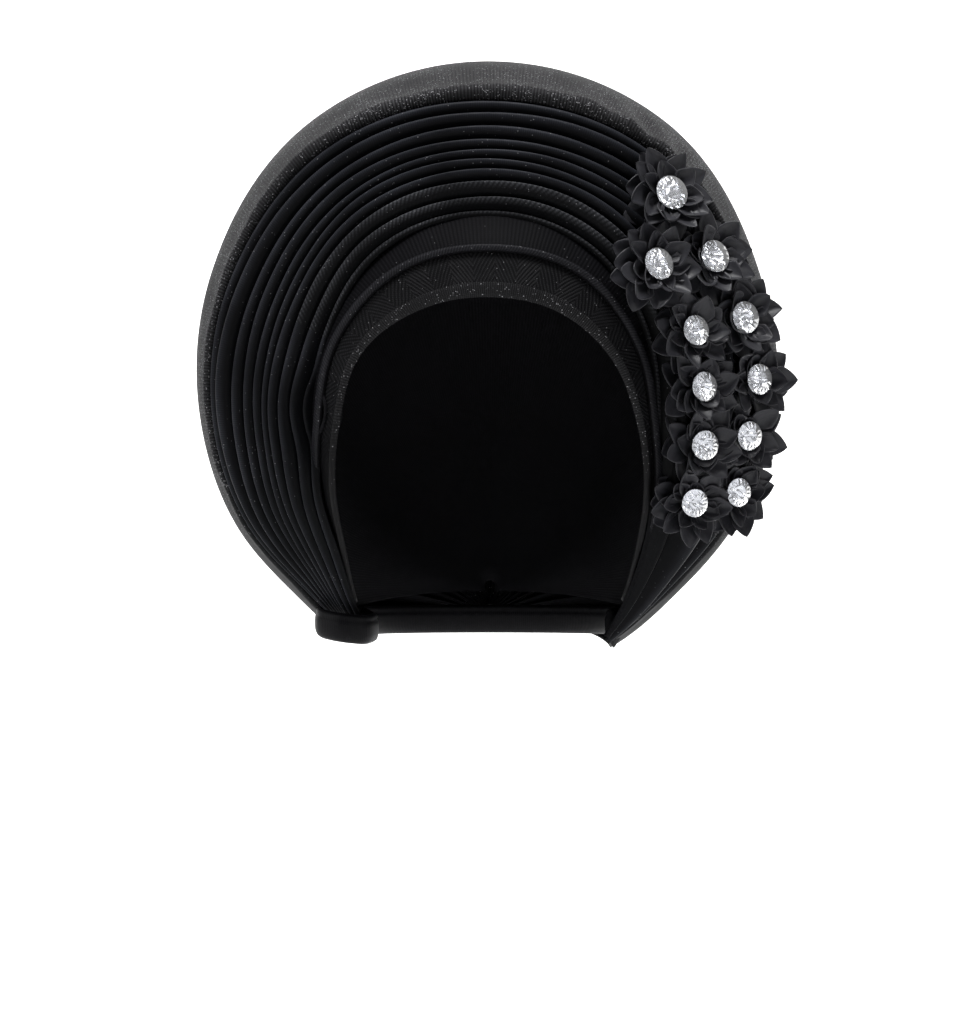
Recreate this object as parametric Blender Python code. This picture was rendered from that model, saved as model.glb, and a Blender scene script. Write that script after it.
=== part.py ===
"""Tied gele head tie, worn form, in metres: +Z up, the face opening towards -Y.

The origin is the inside top of the cap, where the crown of the head sits.
Sections go round the face opening. Their turn is in degrees from straight up,
positive towards +X. Distances and depths are shares of the named sizes below.
"""

import bpy
import numpy as np

# Driving sizes, in metres. FACE_MIDDLE is how far the middle of the face opening
# lies under the crown, and the two napes and the tie lie that much lower again.
CROWN_REACH = 0.156
FACE_DEPTH = 0.086
FACE_MIDDLE = 0.107
NAPE_DEPTH = 0.096
NAPE_DROP = 0.081
HEAD_BACK = 0.084
HEAD_NAPE = 0.071
CLOTH = 0.002
NET = 0.0015
LAYER_GAP = 0.0022
BAND_LIP = 0.0045
BAND_FULL_WIDTH = 0.020
BAND_TUCK = 12.0
SEAM_GAP = 0.0010
PLEAT_SWELL = 0.66
GATHER = 0.0045
FLOWER_REACH = 0.0155
PETAL_WALL = 0.0011
STONE_REACH = 0.007
STONE_HEIGHT = 0.0052
STONE_SEAT = 0.0009
TIE_HEIGHT = 0.0125
TIE_THICKNESS = 0.0045
TIE_DROP = 0.083

# Stations round the opening, in degrees
CAP_TURNS = np.arange(-130.0, 131.0, 10.0)
BAND_TURNS = np.array((-144.0, *np.arange(-140.0, 141.0, 10.0), 147.0))
FAN_TURNS = np.array((-145.0, *np.arange(-140.0, 141.0, 10.0), 148.0))
WRAP_TURNS = np.array((-148.0, *np.arange(-140.0, 141.0, 10.0), 150.0))

# Distances from the middle of the face opening are shares of CROWN_REACH, and
# columns ending in _y are shares of FACE_DEPTH, towards the face where negative.
COLUMNS = (
    "turn", "net", "head", "brow", "fan", "rim", "edge",
    "net_y", "head_y", "fan_y", "rim_y", "edge_y",
)
SECTIONS = (
    (-151, 0.665, 0.690, 0.660, 0.664, 0.680, 0.700, 0.05, 0.35, -0.04, 0.10, 0.24),
    (-130, 0.516, 0.555, 0.528, 0.548, 0.670, 0.695, -0.31, 0.10, -0.34, -0.02, 0.12),
    (-110, 0.447, 0.500, 0.478, 0.504, 0.715, 0.739, -0.57, 0.00, -0.52, -0.10, 0.04),
    (-90, 0.408, 0.494, 0.447, 0.483, 0.754, 0.783, -0.69, 0.00, -0.62, -0.16, 0.00),
    (-60, 0.398, 0.545, 0.465, 0.513, 0.815, 0.871, -0.79, 0.00, -0.69, -0.33, -0.05),
    (-30, 0.363, 0.646, 0.479, 0.569, 0.875, 0.969, -0.93, 0.00, -0.82, -0.50, -0.09),
    (0, 0.344, 0.695, 0.471, 0.579, 0.885, 1.000, -1.00, 0.00, -0.87, -0.57, -0.12),
    (30, 0.355, 0.646, 0.471, 0.557, 0.867, 0.962, -0.95, 0.00, -0.84, -0.50, -0.09),
    (60, 0.373, 0.545, 0.442, 0.496, 0.793, 0.847, -0.80, 0.00, -0.72, -0.33, -0.05),
    (90, 0.399, 0.494, 0.426, 0.455, 0.724, 0.772, -0.67, 0.00, -0.65, -0.14, 0.00),
    (110, 0.444, 0.500, 0.462, 0.481, 0.690, 0.717, -0.56, 0.00, -0.54, -0.07, 0.04),
    (130, 0.519, 0.555, 0.528, 0.547, 0.652, 0.677, -0.31, 0.10, -0.34, 0.00, 0.12),
    (152, 0.656, 0.690, 0.652, 0.655, 0.662, 0.680, 0.05, 0.35, -0.04, 0.10, 0.24),
)

# Each pleat's ridge from the fan's inner edge to the rim, as shares at the top,
# the left and the right, and how deep the fold line after it is on the right.
PLEAT_COLUMNS = ("top", "left", "right", "right_dip")
PLEATS = (
    (0.096, 0.100, 0.080, 0.10),
    (0.202, 0.210, 0.150, 0.10),
    (0.307, 0.300, 0.220, 1.00),
    (0.395, 0.385, 0.460, 0.10),
    (0.482, 0.474, 0.530, 0.10),
    (0.570, 0.577, 0.600, 1.00),
    (0.675, 0.685, 0.800, 0.10),
    (0.816, 0.830, 0.870, 0.10),
    (0.921, 0.930, 0.940, 1.00),
)

# The rim sheet: shares of the way from rim to edge, outward and back.
RIM_COLUMNS = ("outward", "back")
RIM_ROWS = (
    (0.00, 0.00),
    (0.20, -0.02),
    (0.36, 0.10),
    (0.66, 0.42),
    (0.90, 0.74),
    (1.00, 1.00),
)

# How the backs sweep: shares of CROWN_REACH at the top, and at the lowest section.
WRAP_SWEEP = {"start": (0.705, 0.308), "end": (0.609, 0.320), "bulge": (0.320, 0.141)}
CAP_SHARES = (0.0, 0.2, 0.4, 0.6, 0.8, 0.96)
WRAP_SHARES = (0.1, 0.24, 0.38, 0.52, 0.66, 0.8, 0.93, 0.98)
CAP_SWEEP = {"start": (0.513, 0.212), "end": (0.577, 0.218), "bulge": (0.256, 0.090)}

# Flowers: turn and reach of the middle, lift off the fan as a share of FLOWER_REACH,
# stem as a share of the lift, the way it faces in degrees to +X and up, spin in
# degrees, and its share of the full size.
FLOWER_COLUMNS = ("turn", "reach", "lift", "stem", "yaw", "pitch", "spin", "size")
FLOWERS = (
    (37.7, 0.791, 0.645, 0.56, 26, 14, 0, 1.05),
    (45.9, 0.619, 0.613, 0.74, 30, 12, 12, 0.98),
    (52.6, 0.755, 0.710, 0.52, 32, 12, 20, 1.00),
    (64.7, 0.600, 0.581, 0.62, 33, 8, 4, 0.92),
    (66.5, 0.749, 0.710, 0.63, 33, 6, 15, 0.98),
    (79.1, 0.574, 0.581, 0.66, 33, 2, 0, 0.88),
    (79.6, 0.743, 0.826, 0.50, 35, 2, 0, 0.90),
    (94.6, 0.567, 0.645, 0.80, 28, -8, 18, 0.86),
    (91.6, 0.702, 0.852, 0.42, 37, -8, 18, 0.82),
    (104.3, 0.699, 0.903, 0.51, 35, -12, 0, 0.82),
    (110.1, 0.575, 0.806, 0.70, 26, -18, 20, 0.84),
)
PETALS = 10

# A petal's corners, from its root: shares of the reach, of the step between petals,
# and of FLOWER_REACH above the hub.
PETAL_CORNERS = (
    (0.30, -0.50, 0.0), (0.30, 0.0, 0.0), (0.64, -0.50, 0.129), (0.60, 0.0, -0.026),
    (0.84, -0.30, 0.194), (0.84, 0.0, 0.077), (0.84, 0.30, 0.194), (1.00, 0.0, 0.219),
)

# The nape tie's route, from the lower left corner past the gathered ends and behind
# the neck: across as shares of CROWN_REACH, forward of FACE_DEPTH, back of
# NAPE_DEPTH, and how far it sags below TIE_DROP as shares of TIE_HEIGHT.
TIE_COLUMNS = ("across", "forward", "back", "sag")
TIE_PATH = (
    (-0.468, 0.047, 0.000, -0.08),
    (-0.458, 0.145, 0.000, 0.00),
    (-0.410, 0.209, 0.000, 0.12),
    (-0.353, 0.186, 0.000, 0.20),
    (-0.324, 0.058, 0.000, 0.16),
    (-0.333, 0.000, 0.146, 0.08),
    (-0.353, 0.000, 0.333, 0.00),
    (-0.327, 0.000, 0.563, 0.00),
    (-0.218, 0.000, 0.760, 0.00),
    (0.000, 0.000, 0.854, 0.00),
    (0.218, 0.000, 0.760, 0.00),
    (0.327, 0.000, 0.563, 0.00),
    (0.353, 0.000, 0.354, 0.00),
    (0.333, 0.000, 0.188, 0.04),
)
TIE_SECTION = (
    (-0.50, -0.36), (-0.20, -0.50), (0.20, -0.50), (0.50, -0.36),
    (0.50, 0.36), (0.20, 0.50), (-0.20, 0.50), (-0.50, 0.36),
)

FINISHES = {
    "net_cap": ((0.035, 0.036, 0.042), 0.75),
    "brow_band": ((0.040, 0.041, 0.048), 0.60),
    "pleat_fan": ((0.030, 0.031, 0.037), 0.55),
    "crown_wrap": ((0.120, 0.122, 0.130), 0.50),
    "nape_tie": ((0.036, 0.037, 0.043), 0.60),
    "flower": ((0.022, 0.022, 0.027), 0.40),
    "stone": ((0.900, 0.920, 0.950), 0.04),
}


def clear_scene():
    for item in list(bpy.data.objects):
        bpy.data.objects.remove(item, do_unlink=True)


def finish(name, kind):
    colour, roughness = FINISHES[kind]
    material = bpy.data.materials.new(name)
    material.use_nodes = True
    shader = material.node_tree.nodes["Principled BSDF"]
    shader.inputs["Base Color"].default_value = (*colour, 1.0)
    shader.inputs["Roughness"].default_value = roughness
    return material


def holds_volume(points, faces):
    """Whether the faces of a closed solid point outwards."""
    volume = 0.0
    for face in faces:
        for second, third in zip(face[1:], face[2:]):
            volume += np.linalg.det((points[face[0]], points[second], points[third]))
    return volume > 0.0


def add_solid(name, kind, points, faces, smooth=True):
    if not holds_volume(points, faces):
        faces = [face[::-1] for face in faces]
    mesh = bpy.data.meshes.new(name)
    mesh.from_pydata([tuple(point) for point in points], [], faces)
    mesh.polygons.foreach_set("use_smooth", [smooth] * len(mesh.polygons))
    mesh.update()
    item = bpy.data.objects.new(name, mesh)
    item.data.materials.append(finish(name, kind))
    bpy.context.collection.objects.link(item)
    return item


def column_at(table, columns, column, turn):
    """A table's column at a turn, as a smooth curve through its rows."""
    turns = np.array([row[0] for row in table], float)
    values = np.array([row[columns.index(column)] for row in table], float)
    slopes = np.gradient(values, turns)
    low = int(np.clip(np.searchsorted(turns, turn) - 1, 0, len(turns) - 2))
    span = turns[low + 1] - turns[low]
    part = (turn - turns[low]) / span
    rise = values[low + 1] - values[low]
    start = slopes[low] * span
    end = slopes[low + 1] * span
    bend = (start + end - 2 * rise) * part + 3 * rise - 2 * start - end
    return values[low] + part * (start + part * bend)


def size_at(column, turn):
    scale = FACE_DEPTH if column.endswith("_y") else CROWN_REACH
    return scale * column_at(SECTIONS, COLUMNS, column, turn)


def place(turn, distance, depth):
    """The point at a distance from the middle of the opening, and a depth."""
    angle = np.radians(turn)
    across = distance * np.sin(angle)
    return np.array((across, depth, distance * np.cos(angle) - FACE_MIDDLE))


def low_share(turn):
    """0 at the top section and 1 at the lowest ones."""
    return 0.5 - 0.5 * np.cos(np.radians(1.2 * turn))


def back_curve(turn, start, nape, sweep, shares):
    """Points from a section's side back to the nape, where all sections meet."""
    low = low_share(turn)
    lengths = {
        key: CROWN_REACH * (ends[0] + (ends[1] - ends[0]) * low) for key, ends in sweep.items()
    }
    fan_angle = np.radians(0.62 * turn)
    spread = np.array((np.sin(fan_angle), 0.0, np.cos(fan_angle)))
    pull = start + np.array((0.0, lengths["start"], 0.0))
    hold = nape + spread * lengths["end"] + np.array((0.0, lengths["bulge"], 0.0))
    rows = []
    for share in shares:
        rest = 1.0 - share
        rows.append(
            rest**3 * start + 3 * rest**2 * share * pull
            + 3 * rest * share**2 * hold + share**3 * nape
        )
    return rows


def cap_angle(turn, distance):
    """How far round the cap's front a distance lies: 0 at its edge, 90 at the side."""
    inner, outer = size_at("net", turn), size_at("head", turn)
    return np.degrees(np.arcsin(np.clip((distance - inner) / (outer - inner), 0.0, 1.0)))


def cap_front(turn, angle, height=0.0):
    """A point of the cap's quarter round, from the face edge back to the side."""
    inner, outer = size_at("net", turn), size_at("head", turn)
    front, side = size_at("net_y", turn), size_at("head_y", turn)
    sine, cosine = np.sin(np.radians(angle)), np.cos(np.radians(angle))
    normal = np.array(((side - front) * sine, -(outer - inner) * cosine))
    normal /= np.linalg.norm(normal)
    distance = inner + (outer - inner) * sine + height * normal[0]
    return place(turn, distance, front + (side - front) * (1.0 - cosine) + height * normal[1])


def sheet_normals(grid):
    """Unit normals of a grid of rows by stations, on the side rows x stations."""
    along = np.gradient(grid, axis=0)
    across = np.gradient(grid, axis=1)
    normals = np.cross(along, across)
    return normals / np.linalg.norm(normals, axis=2, keepdims=True)


def add_sheet(name, kind, outside, inside):
    """A closed cloth between two grids of the same shape."""
    rows, stations = outside.shape[:2]
    points = np.concatenate((outside.reshape(-1, 3), inside.reshape(-1, 3)))
    back = rows * stations
    faces = []
    for row in range(rows - 1):
        for station in range(stations - 1):
            a = row * stations + station
            b, c, d = a + 1, a + stations + 1, a + stations
            faces.append((a, d, c, b))
            faces.append((back + a, back + b, back + c, back + d))
    first = list(range(stations))
    last = [(rows - 1) * stations + station for station in range(stations)]
    left = [row * stations for row in range(rows)]
    right = [row * stations + stations - 1 for row in range(rows)]
    for edge, turned in ((first, False), (last, True), (left, True), (right, False)):
        for a, b in zip(edge, edge[1:]):
            wall = (a, b, back + b, back + a)
            faces.append(wall[::-1] if turned else wall)
    return add_solid(name, kind, points, faces)


def add_loop_strip(name, kind, loops):
    """A closed strip through loops of points, with flat ends."""
    stations, around = len(loops), len(loops[0])
    points = np.concatenate(loops)
    faces = []
    for station in range(stations - 1):
        for step in range(around):
            a = station * around + step
            b = station * around + (step + 1) % around
            faces.append((a, b, b + around, a + around))
    faces.append(tuple(range(around))[::-1])
    faces.append(tuple(range((stations - 1) * around, stations * around)))
    return add_solid(name, kind, points, faces)


def make_cap():
    columns = []
    for turn in CAP_TURNS:
        rows = [cap_front(turn, angle) for angle in (0.0, 18.0, 36.0, 54.0, 72.0)]
        side = cap_front(turn, 90.0)
        nape = np.array((0.0, HEAD_BACK, -FACE_MIDDLE - HEAD_NAPE))
        rows += back_curve(turn, side, nape, CAP_SWEEP, CAP_SHARES)
        columns.append(rows)
    outside = np.array(columns).transpose(1, 0, 2)
    inside = outside - NET * sheet_normals(outside)
    return add_sheet("net_cap", "net_cap", outside, inside)


def make_brow_band():
    """Flat over the cap, with a thick rolled fold at its inner edge."""
    loops = []
    for turn in BAND_TURNS:
        inner = size_at("brow", turn)
        width = size_at("fan", turn) - inner
        begin = cap_angle(turn, inner)
        end = min(cap_angle(turn, inner + width) + BAND_TUCK, 84.0)
        lip = BAND_LIP * min(1.0, 0.35 + width / BAND_FULL_WIDTH)
        front = (
            (0.00, 0.5 * lip), (0.05, 0.9 * lip), (0.16, lip),
            (0.28, 0.75 * lip), (0.45, CLOTH), (0.72, CLOTH), (1.00, CLOTH),
        )
        back = ((1.00, 0.0), (0.72, 0.0), (0.40, 0.0), (0.05, 0.0))
        loop = []
        for share, height in front + back:
            angle = begin + share * (end - begin)
            loop.append(cap_front(turn, angle, LAYER_GAP + height))
        loops.append(np.array(loop))
    return add_loop_strip("brow_band", "brow_band", loops)


def pleat_rows(turn):
    """Shares from the fan's inner edge to the rim, with heights as shares."""
    left, right = max(-turn, 0.0) / 90.0, max(turn - 20.0, 0.0) / 90.0
    table = [dict(zip(PLEAT_COLUMNS, pleat)) for pleat in PLEATS]
    ridges, dips = [], []
    for pleat in table:
        toward, side = (left, "left") if turn < 0 else (right, "right")
        part = min(toward, 1.0)
        ridges.append(pleat["top"] + part * (pleat[side] - pleat["top"]))
        dips.append(1.0 + part * (pleat["right_dip"] - 1.0) if turn > 0 else 1.0)
    spacing = np.gradient(np.array(ridges))
    rows = [(0.0, -0.2 * spacing[0]), (0.3 * ridges[0], 0.2 * spacing[0])]
    for index, ridge in enumerate(ridges):
        beyond = ridges[index + 1] if index + 1 < len(ridges) else 2.0 - ridge
        swell = spacing[index]
        rows.append((ridge - 0.22 * swell, 0.42 * swell))
        rows.append((ridge + 0.18 * swell, 0.50 * swell))
        dip = dips[index] * 0.5 * min(swell, 0.14)
        rows.append((min(0.5 * (ridge + beyond), 0.985), -dip))
    return rows


def fan_point(turn, share, height=0.0):
    """A point of the fan's front, and its normal in the section's plane."""
    inner, outer = size_at("fan", turn), size_at("rim", turn)
    front, back = size_at("fan_y", turn), size_at("rim_y", turn)
    chord = np.array((outer - inner, back - front))
    normal = np.array((chord[1], -chord[0])) / np.linalg.norm(chord)
    bow = 0.05 * np.linalg.norm(chord) * np.sin(np.pi * share)
    flat = np.array((inner, front)) + share * chord + (bow + height) * normal
    return flat, normal


def over_band(turn, flat):
    """The same distance out, but no deeper than the front of the band."""
    steps = np.linspace(cap_angle(turn, size_at("brow", turn)), 88.0, 24)
    seats = np.array([cap_front(turn, angle, 2 * LAYER_GAP + CLOTH) for angle in steps])
    reaches = np.hypot(seats[:, 0], seats[:, 2] + FACE_MIDDLE)
    limit = np.interp(flat[0], reaches, seats[:, 1], right=1.0)
    return np.array((flat[0], min(flat[1], limit)))


def fan_section(turn):
    """The fan's back and front at a turn, as distances and depths."""
    length = size_at("rim", turn) - size_at("fan", turn)
    backs, fronts = [], []
    for share, swell in pleat_rows(turn):
        flat, normal = fan_point(turn, share, PLEAT_SWELL * swell * length)
        backs.append(over_band(turn, flat - CLOTH * normal))
        fronts.append(backs[-1] + CLOTH * normal)
    return backs, fronts


def make_fan():
    outside, inside = [], []
    for turn in FAN_TURNS:
        backs, fronts = fan_section(turn)
        out_rows = [place(turn, *flat) for flat in fronts]
        in_rows = [place(turn, *flat) for flat in backs]
        outside.append(out_rows)
        inside.append(in_rows)
    outside = np.array(outside).transpose(1, 0, 2)
    inside = np.array(inside).transpose(1, 0, 2)
    return add_sheet("pleat_fan", "pleat_fan", outside, inside)


def wrap_section(turn, gather):
    """One section of the crown wrap, from behind the last pleat to the nape."""
    rim, edge = size_at("rim", turn), size_at("edge", turn)
    rim_y, edge_y = size_at("rim_y", turn), size_at("edge_y", turn)
    rows = []
    for outward, back in RIM_ROWS:
        distance = rim + SEAM_GAP + outward * (edge - rim)
        rows.append(place(turn, distance, rim_y + back * (edge_y - rim_y)))
    nape = np.array((0.0, NAPE_DEPTH, -FACE_MIDDLE - NAPE_DROP))
    middle = np.array((0.0, 0.0, -FACE_MIDDLE))
    back = back_curve(turn, rows[-1], nape, WRAP_SWEEP, WRAP_SHARES)
    for share, point in zip(WRAP_SHARES, back):
        out = (point - middle) / np.linalg.norm(point - middle)
        rows.append(point + out * gather * share * np.sin(np.pi * share))
    return rows


def make_wrap():
    columns = []
    for index, turn in enumerate(WRAP_TURNS):
        columns.append(wrap_section(turn, GATHER if index % 2 else -GATHER))
    outside = np.array(columns).transpose(1, 0, 2)
    inside = outside - CLOTH * sheet_normals(outside)
    for station, turn in enumerate(WRAP_TURNS):
        flat, normal = fan_point(turn, 1.0)
        through = place(turn, *(flat - CLOTH * normal)) - place(turn, *flat)
        inside[0, station] = outside[0, station] + through
    return add_sheet("crown_wrap", "crown_wrap", outside, inside)


def make_flower(index, flower):
    """Ten pointed petals round a hub, and the stone seated on it."""
    turn = flower["turn"]
    inner, outer = size_at("fan", turn), size_at("rim", turn)
    share = (flower["reach"] * CROWN_REACH - inner) / (outer - inner)
    flat, _ = fan_point(turn, share)
    yaw, pitch = np.radians(flower["yaw"]), np.radians(flower["pitch"])
    facing = np.array((np.sin(yaw) * np.cos(pitch), -np.cos(yaw) * np.cos(pitch), np.sin(pitch)))
    across = np.cross(facing, (0.0, 0.0, 1.0))
    across /= np.linalg.norm(across)
    upright = np.cross(across, facing)
    lift = flower["lift"] * FLOWER_REACH
    middle = place(turn, *flat) + np.array((0.0, -lift, 0.0))

    def local(radius, angle, height):
        spun = np.radians(angle + flower["spin"])
        around = across * np.cos(spun) + upright * np.sin(spun)
        return middle + radius * around + height * facing

    reach = FLOWER_REACH * flower["size"]
    points, faces = [], []
    step = 360.0 / PETALS
    per_side = PETALS * len(PETAL_CORNERS)
    for thickness in (0.0, PETAL_WALL):
        for petal in range(PETALS):
            for radius, offset, height in PETAL_CORNERS:
                angle = (petal + offset) * step
                points.append(local(radius * reach, angle, height * FLOWER_REACH - thickness))
    points.append(local(0.0, 0.0, 0.0))
    points.append(local(0.0, 0.0, -flower["stem"] * lift))
    top_hub, bottom_hub = 2 * per_side, 2 * per_side + 1
    for petal in range(PETALS):
        here = petal * len(PETAL_CORNERS)
        after = ((petal + 1) % PETALS) * len(PETAL_CORNERS)
        root_a, root, side_a, mid, left, high, right, tip = range(here, here + 8)
        root_b, side_b = after, after + 2
        top = (
            (top_hub, root_a, root), (top_hub, root, root_b),
            (root_a, side_a, mid, root), (root, mid, side_b, root_b),
            (side_a, left, mid), (left, high, mid), (mid, high, right), (mid, right, side_b),
            (left, tip, high), (high, tip, right),
        )
        for face in top:
            faces.append(face)
            under = [bottom_hub if corner == top_hub else corner + per_side for corner in face]
            faces.append(tuple(under[::-1]))
        for a, b in ((side_a, left), (left, tip), (tip, right), (right, side_b)):
            faces.append((b, a, a + per_side, b + per_side))
    add_solid(f"flower_{index:02d}", "flower", points, faces, smooth=False)
    make_stone(index, flower, local)


def make_stone(index, flower, local):
    """A round cut stone: table, eight upper facets, girdle and pointed back."""
    reach = STONE_REACH * flower["size"]
    rings = (
        (8, 0.50, 1.00, 0.0), (8, 0.82, 0.66, 22.5), (16, 1.00, 0.30, 0.0), (16, 1.00, 0.18, 0.0),
    )
    points, faces, starts = [], [], []
    for count, radius, height, offset in rings:
        starts.append(len(points))
        for step in range(count):
            angle = step * 360.0 / count + offset
            points.append(local(radius * reach, angle, STONE_SEAT + height * STONE_HEIGHT))
    points.append(local(0.0, 0.0, STONE_SEAT))
    table, upper, girdle, under = starts
    faces.append(tuple(range(table, table + 8)))
    for step in range(8):
        after = (step + 1) % 8
        edges = [girdle + (2 * step + count) % 16 for count in range(3)]
        faces.append((table + step, upper + step, table + after))
        faces.append((table + after, upper + step, edges[2], upper + after))
        faces.append((upper + step, edges[0], edges[1]))
        faces.append((upper + step, edges[1], edges[2]))
    for step in range(16):
        after = (step + 1) % 16
        faces.append((girdle + step, under + step, under + after, girdle + after))
        faces.append((under + step, len(points) - 1, under + after))
    add_solid(f"stone_{index:02d}", "stone", points, faces, smooth=False)


def make_nape_tie():
    """A flat loop: in front of the gathered corner, then behind the neck."""
    table = [dict(zip(TIE_COLUMNS, row)) for row in TIE_PATH]
    path = np.array([
        (
            row["across"] * CROWN_REACH,
            row["back"] * NAPE_DEPTH - row["forward"] * FACE_DEPTH,
            -FACE_MIDDLE - TIE_DROP - row["sag"] * TIE_HEIGHT,
        )
        for row in table
    ])
    forward = np.gradient(path, axis=0)
    out = np.cross(forward, (0.0, 0.0, 1.0))
    out /= np.linalg.norm(out, axis=1, keepdims=True)
    loops = []
    for middle, side in zip(path, out):
        loop = []
        for across, up in TIE_SECTION:
            rise = np.array((0.0, 0.0, up * TIE_HEIGHT))
            loop.append(middle + side * across * TIE_THICKNESS + rise)
        loops.append(np.array(loop))
    return add_loop_strip("nape_tie", "nape_tie", loops)


clear_scene()
make_cap()
make_brow_band()
make_fan()
make_wrap()
make_nape_tie()
for number, flower_row in enumerate(FLOWERS, 1):
    make_flower(number, dict(zip(FLOWER_COLUMNS, flower_row)))
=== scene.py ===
# A tied gele head tie, worn form: net cap, brow band, pleats, crown, nape tie, ribbon flowers.
import math
import bpy
import numpy as np
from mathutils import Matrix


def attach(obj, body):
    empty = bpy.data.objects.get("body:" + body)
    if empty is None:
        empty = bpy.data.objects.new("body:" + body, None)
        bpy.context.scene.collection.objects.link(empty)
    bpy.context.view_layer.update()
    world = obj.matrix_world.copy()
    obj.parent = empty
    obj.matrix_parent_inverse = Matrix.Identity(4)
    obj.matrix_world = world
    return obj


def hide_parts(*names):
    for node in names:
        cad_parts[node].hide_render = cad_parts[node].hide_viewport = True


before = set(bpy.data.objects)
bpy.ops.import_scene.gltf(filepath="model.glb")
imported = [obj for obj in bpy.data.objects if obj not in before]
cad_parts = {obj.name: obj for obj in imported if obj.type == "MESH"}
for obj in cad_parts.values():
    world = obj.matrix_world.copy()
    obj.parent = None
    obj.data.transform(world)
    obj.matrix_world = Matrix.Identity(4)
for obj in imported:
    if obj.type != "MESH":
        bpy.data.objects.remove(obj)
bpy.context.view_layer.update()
rng = np.random.default_rng(7)
faceMiddle = 0.107  # how far the middle of the face opening lies under the crown
print("frame loaded")

# In metres: the reach and depth that the sections are shares of, the thickness of cloth
# and net, and the room between the cap and the cloth on it.
form = {"reach": 0.156, "depth": 0.086, "cloth": 0.0011, "net": 0.0008, "layerGap": 0.0022}

# Sections round the face opening: turn in degrees from straight up, towards +X.
# Columns ending in Y are depths, the others distances from the opening's middle.
sectionColumns = ("turn", "net", "head", "brow", "fan", "rim", "edge",
                  "netY", "headY", "fanY", "rimY", "edgeY")
sections = (
    (-151, 0.665, 0.690, 0.660, 0.664, 0.680, 0.700, 0.05, 0.35, -0.04, 0.10, 0.24),
    (-130, 0.516, 0.555, 0.528, 0.548, 0.670, 0.695, -0.31, 0.10, -0.34, -0.02, 0.12),
    (-110, 0.447, 0.500, 0.478, 0.504, 0.715, 0.739, -0.57, 0.00, -0.52, -0.10, 0.04),
    (-90, 0.408, 0.494, 0.447, 0.483, 0.754, 0.783, -0.69, 0.00, -0.62, -0.16, 0.00),
    (-60, 0.398, 0.545, 0.465, 0.513, 0.815, 0.871, -0.79, 0.00, -0.69, -0.33, -0.05),
    (-30, 0.363, 0.646, 0.479, 0.569, 0.875, 0.969, -0.93, 0.00, -0.82, -0.50, -0.09),
    (0, 0.344, 0.695, 0.471, 0.579, 0.885, 1.000, -1.00, 0.00, -0.87, -0.57, -0.12),
    (30, 0.355, 0.646, 0.471, 0.557, 0.867, 0.962, -0.95, 0.00, -0.84, -0.50, -0.09),
    (60, 0.373, 0.545, 0.442, 0.496, 0.793, 0.847, -0.80, 0.00, -0.72, -0.33, -0.05),
    (90, 0.399, 0.494, 0.426, 0.455, 0.724, 0.772, -0.67, 0.00, -0.65, -0.14, 0.00),
    (110, 0.444, 0.500, 0.462, 0.481, 0.690, 0.717, -0.56, 0.00, -0.54, -0.07, 0.04),
    (130, 0.519, 0.555, 0.528, 0.547, 0.652, 0.677, -0.31, 0.10, -0.34, 0.00, 0.12),
    (152, 0.656, 0.690, 0.652, 0.655, 0.662, 0.680, 0.05, 0.35, -0.04, 0.10, 0.24),
)


# A share, kept between 0 and 1.
def unit(share):
    return np.clip(share, 0, 1)


# A smooth step from one value to the next, with the slopes that it starts and ends with.
def smoothStep(first, last, start, end, part):
    rise = last - first
    bend = (start + end - 2 * rise) * part + 3 * rise - 2 * start - end
    return first + part * (start + part * bend)


# A table's column as a smooth curve through its rows.
def columnAt(rows, names, name, turns):
    xs = np.array([row[0] for row in rows], float)
    ys = np.array([row[names.index(name)] for row in rows], float)
    slopes = np.gradient(ys, xs)
    low = np.clip(np.searchsorted(xs, turns) - 1, 0, len(xs) - 2)
    span = xs[low + 1] - xs[low]
    part = (turns - xs[low]) / span
    return smoothStep(ys[low], ys[low + 1], slopes[low] * span, slopes[low + 1] * span, part)


# A section's size in metres at each turn.
def sizeAt(name, turns):
    scale = form["depth"] if name.endswith("Y") else form["reach"]
    return scale * columnAt(sections, sectionColumns, name, np.asarray(turns, float))


def stationTurns(look):
    return np.linspace(look["first"], look["last"], look["stations"])


# Points at a turn and distance round the face opening's middle, and at a depth.
def place(turns, distance, depth):
    angle = np.radians(turns)
    up = distance * np.cos(angle) - faceMiddle
    return np.stack((distance * np.sin(angle), depth + 0 * up, up), axis=-1)


# The cap's quarter round, from the face edge at 0 back to the side at 90.
def capFront(turns, angle, height=0.0):
    inner, outer = sizeAt("net", turns), sizeAt("head", turns)
    front, side = sizeAt("netY", turns), sizeAt("headY", turns)
    sine, cosine = np.sin(np.radians(angle)), np.cos(np.radians(angle))
    out, along = (side - front) * sine, -(outer - inner) * cosine
    size = np.hypot(out, along)
    distance = inner + (outer - inner) * sine + height * out / size
    return distance, front + (side - front) * (1 - cosine) + height * along / size


# Where on the cap's round a distance is reached, in degrees.
def capAngle(turns, distance):
    inner, outer = sizeAt("net", turns), sizeAt("head", turns)
    return np.degrees(np.arcsin(unit((distance - inner) / (outer - inner))))


# A smooth wandering line between about -1 and 1.
def waver(x, seed, scale):
    source = np.random.default_rng(seed)
    total = 0
    for step in range(1, 5):
        wave = x * scale * step * source.uniform(0.7, 1.3)
        total = total + np.sin(wave + source.uniform(0, 6.28)) / step
    return total / 1.6  # the four waves seldom add up to more


# A smooth hump of height 1 round its middle.
def hump(x, middle, spread):
    return np.exp(-((x - middle) / spread) ** 2)


def gridNormals(grid):
    normals = np.cross(np.gradient(grid, axis=0), np.gradient(grid, axis=1))
    size = np.linalg.norm(normals, axis=2, keepdims=True)
    return normals / np.maximum(size, 1e-12)


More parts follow.
